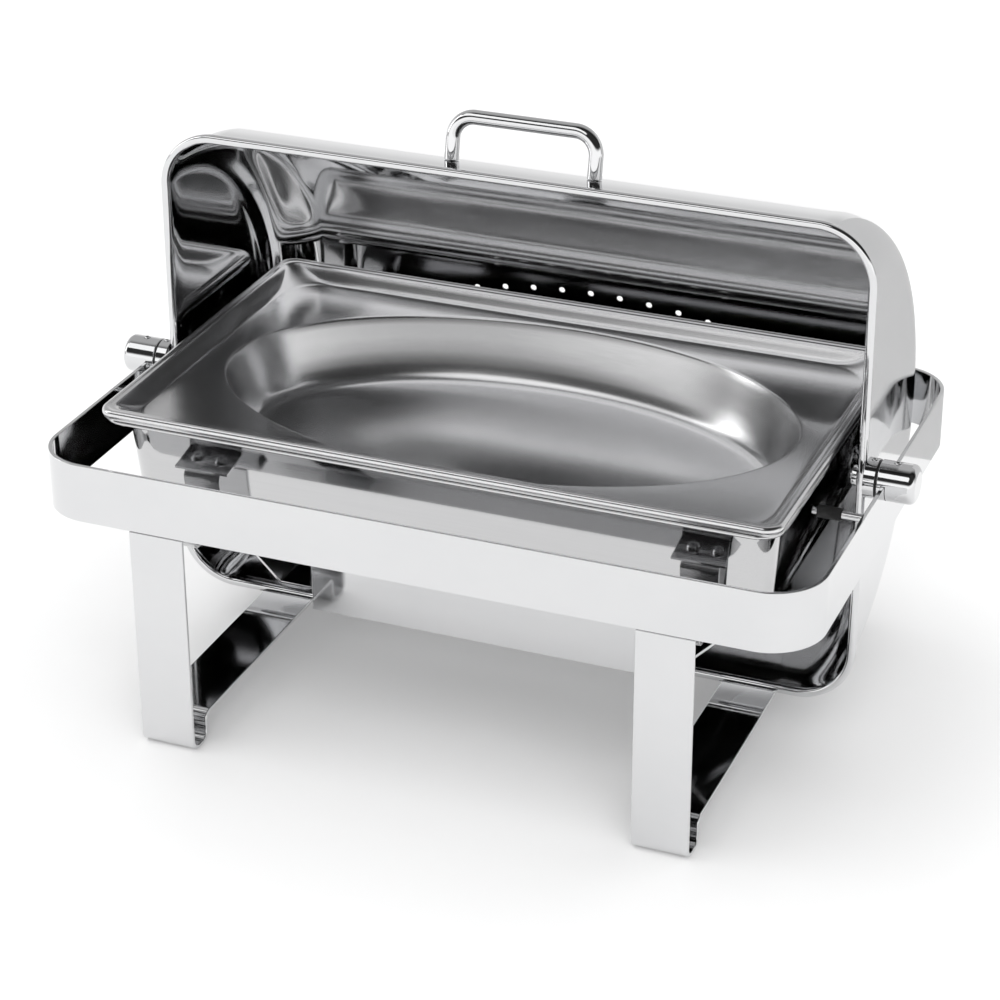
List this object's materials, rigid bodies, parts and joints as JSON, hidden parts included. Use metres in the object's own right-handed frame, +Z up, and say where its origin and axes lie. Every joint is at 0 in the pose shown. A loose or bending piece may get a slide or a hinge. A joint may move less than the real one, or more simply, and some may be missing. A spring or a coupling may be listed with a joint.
{
  "type": "chafing dish food warmer",
  "caption": "Rectangular roll-top chafing dish with a flat-bar frame, water pan, oval-well food pan, domed lid on side pivots and a burner shelf with fuel cups.",
  "frame": {"origin": "on the floor under the middle of the carrying band", "axes": "+X along the long side to the right of a guest in front, +Y to the back, +Z up"},
  "size_m": [0.646, 0.398, 0.4541],
  "materials": {
    "mirror_steel": "mirror-polished stainless steel",
    "satin_steel": "satin pressed stainless steel",
    "black_rubber": "matt black rubber",
    "black_nylon": "black nylon"
  },
  "bodies": {
    "frame": {"frame_band": "mirror_steel", "left_leg_strip": "mirror_steel", "right_leg_strip": "mirror_steel", "burner_shelf": "mirror_steel", "burner_guard": "mirror_steel", "left_pan_bracket": "mirror_steel", "left_bracket_screw_1": "mirror_steel", "left_bracket_screw_2": "mirror_steel", "left_carrier_arm": "satin_steel", "left_rest_pin": "mirror_steel", "left_rest_sleeve": "black_rubber", "left_fuel_cup": "satin_steel", "left_cover_pin": "mirror_steel", "left_pivot_block": "mirror_steel", "left_block_screw": "mirror_steel", "left_pivot_pin": "satin_steel", "left_pivot_washer": "black_nylon", "right_pan_bracket": "mirror_steel", "right_bracket_screw_1": "mirror_steel", "right_bracket_screw_2": "mirror_steel", "right_carrier_arm": "satin_steel", "right_rest_pin": "mirror_steel", "right_rest_sleeve": "black_rubber", "right_fuel_cup": "satin_steel", "right_cover_pin": "mirror_steel", "right_pivot_block": "mirror_steel", "right_block_screw": "mirror_steel", "right_pivot_pin": "satin_steel", "right_pivot_washer": "black_nylon"},
    "lid": {"lid_shell": "mirror_steel", "lid_handle": "mirror_steel", "left_lid_hub": "mirror_steel", "left_hub_screw": "mirror_steel", "left_hub_nut": "mirror_steel", "left_handle_screw": "mirror_steel", "right_lid_hub": "mirror_steel", "right_hub_screw": "mirror_steel", "right_hub_nut": "mirror_steel", "right_handle_screw": "mirror_steel"},
    "water_pan": {"water_pan": "satin_steel"},
    "food_pan": {"food_pan": "satin_steel"},
    "left_cover": {"left_snuffer_cover": "satin_steel", "left_cover_knob": "mirror_steel"},
    "right_cover": {"right_snuffer_cover": "satin_steel", "right_cover_knob": "mirror_steel"}
  },
  "joints": [
    {"name": "lid_roll", "type": "hinge", "parent": "frame", "child": "lid", "pos_m": [0, 0, 0.228], "axis": [1, 0, 0], "range_deg": [0, 90]},
    {"name": "water_pan_lift", "type": "slide", "parent": "frame", "child": "water_pan", "axis": [0, 0, 1], "range_m": [0, 0.02]},
    {"name": "food_pan_lift", "type": "slide", "parent": "water_pan", "child": "food_pan", "axis": [0, 0, 1], "range_m": [0, 0.025]},
    {"name": "left_cover_swing", "type": "hinge", "parent": "frame", "child": "left_cover", "pos_m": [-0.12, 0.05, 0.126], "axis": [0, 0, -1], "range_deg": [0, 100]},
    {"name": "right_cover_swing", "type": "hinge", "parent": "frame", "child": "right_cover", "pos_m": [0.12, 0.05, 0.126], "axis": [0, 0, 1], "range_deg": [0, 100]}
  ]
}
